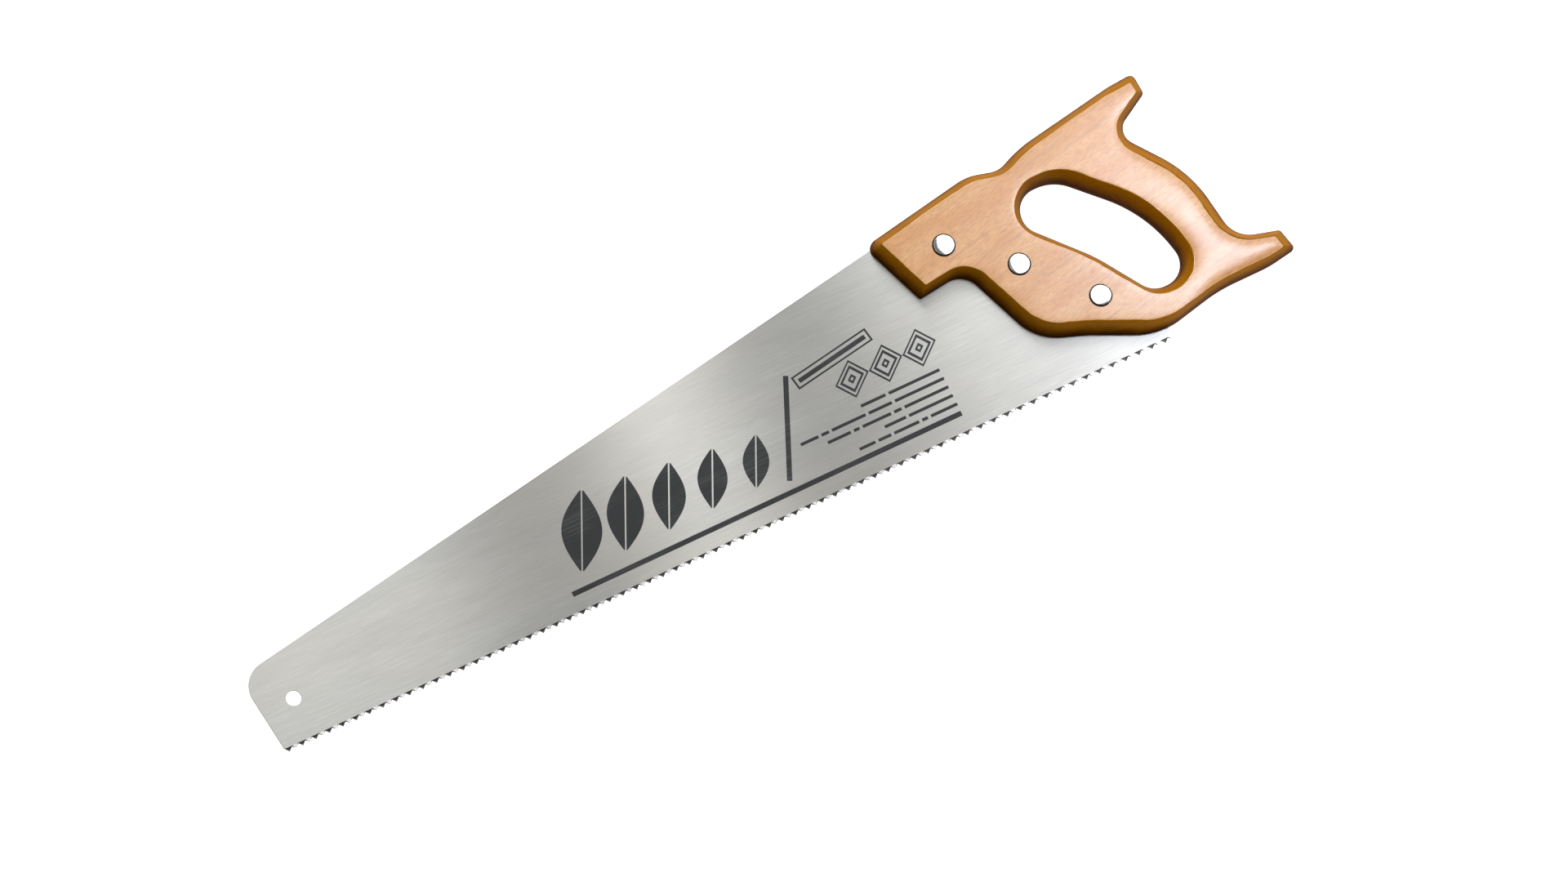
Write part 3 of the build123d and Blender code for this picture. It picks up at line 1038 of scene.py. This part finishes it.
def build_print(material):
    ink_piece("print_rules", [bar(*RULE, RULE_WIDTH), bar(*STROKE, RULE_WIDTH)], [], material)
    leaves = []
    for i in range(LEAF_COUNT):
        share = i / (LEAF_COUNT - 1)
        x, foot, height = (a + b * share for a, b in zip(FIRST_LEAF, LEAF_CHANGE))
        leaves += leaf((x, foot), (x + LEAF_LEAN * height, foot + height), LEAF_WIDTH * height, VEIN_WIDTH)
    ink_piece("print_leaves", leaves, [], material)
    rings = []
    for i in range(LOZENGE_COUNT):
        x, y = FIRST_LOZENGE[0] + LOZENGE_PITCH * i, FIRST_LOZENGE[1]
        rings += [(lozenge(x, y, outer), lozenge(x, y, inner)) for outer, inner in LOZENGE_RINGS]
    rings.append((bar(*FRAME_OUTER), bar(*FRAME_INNER)))
    ink_piece("print_lozenges", [bar(*FRAMED_BAR)], rings, material)
    dashes = []
    for row, (start, gaps) in enumerate(DASH_ROWS):
        y = DASH_TOP - DASH_ROW_PITCH * row
        stops = [start] + [gap + side * DASH_GAP / 2 for gap in gaps for side in (-1, 1)] + [DASH_END]
        dashes += [bar(x0, y, x1, y, DASH_WIDTH) for x0, x1 in zip(stops[::2], stops[1::2])]
    ink_piece("print_dashes", dashes, [], material)


# ---------------------------------------------------------------- pieces

handle = build_handle()
kerf = prism("kerf_cutter", KERF, BLADE_LOW, BLADE_TOP)
kerf.data.materials.append(handle.data.materials[0])
kerf.data.materials.append(handle.data.materials[1])
cut(handle, kerf)
handle.data.set_sharp_from_angle(angle=math.radians(SHARP_HANDLE_ANGLE))
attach(handle, "root")
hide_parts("handle")

blade = build_blade()
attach(blade, "root")
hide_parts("blade")

metal = bright_metal("polished_nickel", (0.90, 0.90, 0.89), (0.96, 0.96, 0.95))
# painted shade: a dark copy of the nickel for the rounded rims and sides of the heads
shaded_side_metal = bright_metal("shaded_nickel_side", (0.07, 0.068, 0.065), (0.16, 0.155, 0.15))
for label, centre in zip(("nose", "middle", "heel"), FASTENERS):
    for kind, build in (("bolt", build_bolt), ("nut", build_nut)):
        piece = build("bright_" + kind + "_" + label, centre, metal, shaded_side_metal)
        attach(piece, "root")
        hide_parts(kind + "_" + label)
build_print(ink())

# ---------------------------------------------------------------- camera, floor, light

TARGET = at(300.366, 37.485, HALF)
CAMERA_DISTANCE = 12.0
TO_CAMERA = Vector((-0.23168, -0.18643, 0.95476)).normalized()
CAMERA_RIGHT = Vector((0.88184, -0.45463, 0.12521)).normalized()
CAMERA_UP = TO_CAMERA.cross(CAMERA_RIGHT)

LENS = 546.58
SENSOR_WIDTH = 36.0
CLIP_START, CLIP_END = 0.1, 60.0

camera_data = bpy.data.cameras.new("camera")
camera_data.sensor_width = SENSOR_WIDTH
camera_data.lens = LENS
camera_data.clip_start = CLIP_START
camera_data.clip_end = CLIP_END
camera = new_object("camera", camera_data)
rotation = Matrix((CAMERA_RIGHT, CAMERA_UP, TO_CAMERA)).transposed().to_4x4()
camera.matrix_world = Matrix.Translation(TARGET + TO_CAMERA * CAMERA_DISTANCE) @ rotation
bpy.context.scene.camera = camera

WHITE = (1.0, 1.0, 1.0)
KEY_TARGET = Vector((0.05, 0.0, 0.0))
PANEL_HEIGHT = 0.6
# how far a panel is moved so that the camera sees it mirrored at its own place on the plate
MIRROR_X, MIRROR_Y = 0.2427 * PANEL_HEIGHT, 0.1952 * PANEL_HEIGHT


def area_light(name, wide, high, radiance, tint):
    """Rectangular light that the camera doesn't see, with its brightness given as radiance."""
    light = bpy.data.lights.new(name, "AREA")
    light.shape = "RECTANGLE"
    light.size, light.size_y = wide, high
    light.energy = radiance * math.pi * wide * high
    light.color = tint
    obj = new_object(name, light)
    obj.visible_camera = False
    return obj


def softbox(name, direction, distance, size, radiance):
    """Light that looks at the saw from one direction."""
    obj = area_light(name, *size, radiance, WHITE)
    back = Vector(direction).normalized()
    obj.location = KEY_TARGET + back * distance
    obj.rotation_mode = "QUATERNION"
    obj.rotation_quaternion = (-back).to_track_quat("-Z", "Y")


def panel(name, x_from, x_to, y_from, y_to, radiance, tint=WHITE):
    """Flat light overhead, placed where the plate mirrors it between two layout lengths."""
    obj = area_light(name, (x_to - x_from) * MM, (y_to - y_from) * MM, radiance, tint)
    middle = at((x_from + x_to) / 2, (y_from + y_to) / 2)
    obj.location = (middle.x + MIRROR_X, middle.y + MIRROR_Y, PANEL_HEIGHT + BLADE_TOP * MM)


# direction, distance, size, radiance
KEYS = {
    "key_right": ((0.95, 0.30, 0.85), 2.0, (1.0, 1.2), 2.9),
    "key_back": ((0.25, 1.0, 0.80), 2.0, (1.4, 1.0), 2.5),
}
# layout lengths between which the panel shows, radiance, tint
PANELS = {
    "panel_toe": (-70, 122, -40, 500, 1.3),
    "panel_middle": (226, 278, -40, 500, 2.6),
    "panel_shoulder": (385, 430, -40, 500, 1.35),
    "panel_heel": (430, 640, -40, 500, 1.7),
    "panel_grip": (531, 611, -10, 62, 58.0, (0.95, 1.02, 1.22)),
}
WORLD_LIGHT = 0.16
FLOOR_SIZE = 30.0
FLOOR_Z = -0.0002
FLOOR_GREY = 0.80
FLOOR_GLOW = 1.0

for name, values in KEYS.items():
    softbox(name, *values)
for name, values in PANELS.items():
    panel(name, *values)

bpy.ops.mesh.primitive_plane_add(size=FLOOR_SIZE, location=(0.0, 0.0, FLOOR_Z))
floor = bpy.context.object
floor.name = "floor"
mat, tree, shader = new_material("pale_floor")
shader.inputs["Base Color"].default_value = (FLOOR_GREY, FLOOR_GREY, FLOOR_GREY, 1.0)
shader.inputs["Roughness"].default_value = 0.9
shader.inputs["Emission Color"].default_value = (*WHITE, 1.0)
shader.inputs["Emission Strength"].default_value = FLOOR_GLOW
floor.data.materials.append(mat)

world = bpy.data.worlds.new("studio")
world.use_nodes = True
background = world.node_tree.nodes["Background"]
background.inputs["Color"].default_value = (*WHITE, 1.0)
background.inputs["Strength"].default_value = WORLD_LIGHT
bpy.context.scene.world = world
bpy.context.scene.view_settings.view_transform = "Standard"
